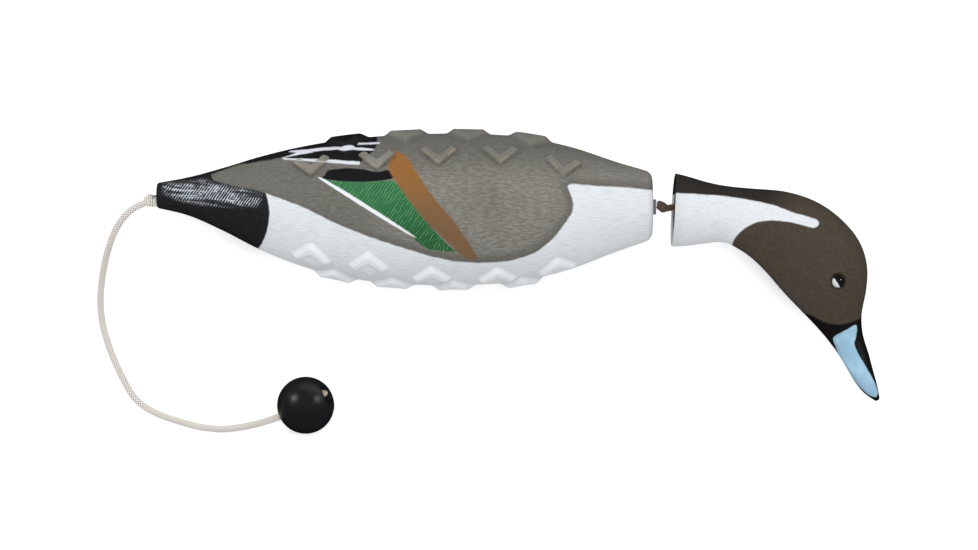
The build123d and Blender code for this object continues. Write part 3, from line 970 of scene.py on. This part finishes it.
def braided(name, strand, gap, fleck, roughness):
    # twisted polyester yarns: pale tops, painted shade with some dirt between the strands, and the odd tan
    # fleck
    finish, tree, shader = newFinish(name)
    at = addNode(tree, "TexCoord", out="Object")
    bulge = mark(tree, "bulge")
    # darker between the strands: painted shade, with some dirt
    colour = layer(tree, ramp(tree, bulge, 0.34, 0.70), linear(gap), linear(strand))
    flecks = ramp(tree, grain(tree, at, 420, detail=2), 0.60, 0.72, 0, 0.6)
    colour = layer(tree, flecks, colour, linear(fleck))
    hair = grain(tree, at, 1800, detail=2)
    bump = addNode(tree, "Bump", {"Strength": 0.5, "Distance": 0.0002, "Height": hair})
    tree.links.new(colour, shader.inputs["Base Color"])
    tree.links.new(bump, shader.inputs["Normal"])
    shader.inputs["Roughness"].default_value = roughness
    shader.inputs["Sheen Weight"].default_value = 0.2
    return finish


def plain(name, colour, roughness, metallic=0.0, grainScale=700, depth=0.0001, fade=0.25):
    # a plain moulded or turned surface with a faint unevenness
    finish, tree, shader = newFinish(name)
    at = addNode(tree, "TexCoord", out="Object")
    noise = grain(tree, at, grainScale, detail=3)
    tint = layer(tree, ramp(tree, noise, 0.3, 0.7, 0, fade), linear(colour), linear("#6a6a6a"))
    bump = addNode(tree, "Bump", {"Strength": 0.3, "Distance": depth, "Height": noise})
    tree.links.new(tint, shader.inputs["Base Color"])
    tree.links.new(bump, shader.inputs["Normal"])
    tree.links.new(ramp(tree, noise, 0.3, 0.7, roughness, roughness + 0.08), shader.inputs["Roughness"])
    shader.inputs["Metallic"].default_value = metallic
    return finish


def paintedEye():
    # a black pupil with a white crescent towards the bill, the eye's white paint with a painted reflection on
    # it, under clear gloss
    finish, tree, shader = newFinish("painted eye under gloss")
    at = addNode(tree, "TexCoord", out="Object")
    split = addNode(tree, "SeparateXYZ", {0: at}, out=None)
    middle = [value * mm for value in head["eye"]]
    across = sums(tree, "SUBTRACT", split.outputs[0], middle[0])
    along = sums(tree, "SUBTRACT", split.outputs[1], middle[1])
    slope = sums(tree, "MULTIPLY_ADD", across, 0.82, sums(tree, "MULTIPLY", along, 0.57))
    # the white crescent: the eye's white paint and a painted reflection
    colour = layer(tree, ramp(tree, slope, -0.0014, -0.0009), linear("#dfe2e4"), linear("#17161a"))
    tree.links.new(colour, shader.inputs["Base Color"])
    shader.inputs["Roughness"].default_value = 0.12
    shader.inputs["Coat Weight"].default_value = 0.5
    return finish


wear(foamPiece, paintedFoam())
wear(headPiece, paintedHead())
throwFinish = braided("cream braided polyester cord", "#fbf8f3", "#8c8377", "#bfa184", 0.8)
linkFinish = braided("brown braided cord", "#735a4c", "#33261f", "#937868", 0.7)
for piece in (throwBraid, tailKnotPiece):
    wear(piece, throwFinish)
wear(endKnotPiece, braided("grubby end of the braided cord", "#d3c5ab", "#85775f", "#a08a68", 0.85))
for piece in (neckKnotPiece, linkBraid):
    wear(piece, linkFinish)
ballFinish = plain("black moulded rubber", "#17171a", 0.30, grainScale=900, depth=0.00012, fade=0.04)
wear(ballPiece, ballFinish)
wear(frame["nodes"]["core_cord"], throwFinish)
wear(frame["nodes"]["head_stop_knot"], linkFinish)
greyPlastic = plain("grey moulded plastic", "#86878a", 0.45)
for name in ("core_tube", "tail_grommet", "neck_grommet"):
    wear(frame["nodes"][name], greyPlastic)
wear(frame["nodes"]["head_plug"], plain("dark moulded plastic", "#2f2d2b", 0.5))
washerFinish = plain("zinc plated steel", "#a9abab", 0.3, metallic=1.0, grainScale=1500)
wear(frame["nodes"]["head_washer"], washerFinish)
eyeFinish = paintedEye()
for name in ("eye_right", "eye_left"):
    wear(frame["nodes"][name], eyeFinish)
print("finishes on")

# light, floor and sky
studio = {"world": 0.38, "key": 12, "fill": 9, "top": 40, "size": 0.62, "reach": 2.6}
bpy.ops.mesh.primitive_plane_add(size=12, location=(0, 0, 0))
floor = bpy.context.object
floor.name = "floor"
floorFinish, _, floorShader = newFinish("pale floor")
floorShader.inputs["Base Color"].default_value = linear("#fbfbfb")
floorShader.inputs["Roughness"].default_value = 0.9
floorShader.inputs["Specular IOR Level"].default_value = 0.1
floorShader.inputs["Emission Color"].default_value = (1, 1, 1, 1)
floorShader.inputs["Emission Strength"].default_value = 0.35
wear(floor, floorFinish)
floor.visible_glossy = False  # so that the ball's and the bill's rims stay dark
for name, direction, power in (
    ("leftSoftbox", (-0.725, 0.40, 0.563), studio["key"]),
    ("rightSoftbox", (0.73, 0.40, 0.55), studio["fill"]),
    ("overheadScrim", (0.02, 0.10, 1.0), studio["top"]),
):
    aim = Vector(direction).normalized()
    pointing = aim.to_track_quat("Z", "Y").to_euler()
    bpy.ops.object.light_add(type="AREA", location=aim * studio["reach"], rotation=pointing)
    lamp = bpy.context.object
    lamp.name = name
    lamp.data.shape = "SQUARE"
    lamp.data.size = studio["size"] * (2 if name == "overheadScrim" else 1)
    lamp.data.energy = power
    # the scrim lights, and leaves the two highlights on the ball alone
    lamp.visible_glossy = name != "overheadScrim"
sky = bpy.data.worlds.new("studio")
sky.use_nodes = True
sky.node_tree.nodes["Background"].inputs[0].default_value = (1, 1, 1, 1)
sky.node_tree.nodes["Background"].inputs[1].default_value = studio["world"]
bpy.context.scene.world = sky
sky.cycles_visibility.glossy = False  # black rubber and black paint stay black
bpy.context.scene.view_settings.view_transform = "Standard"
print("lit")

bpy.context.view_layer.update()
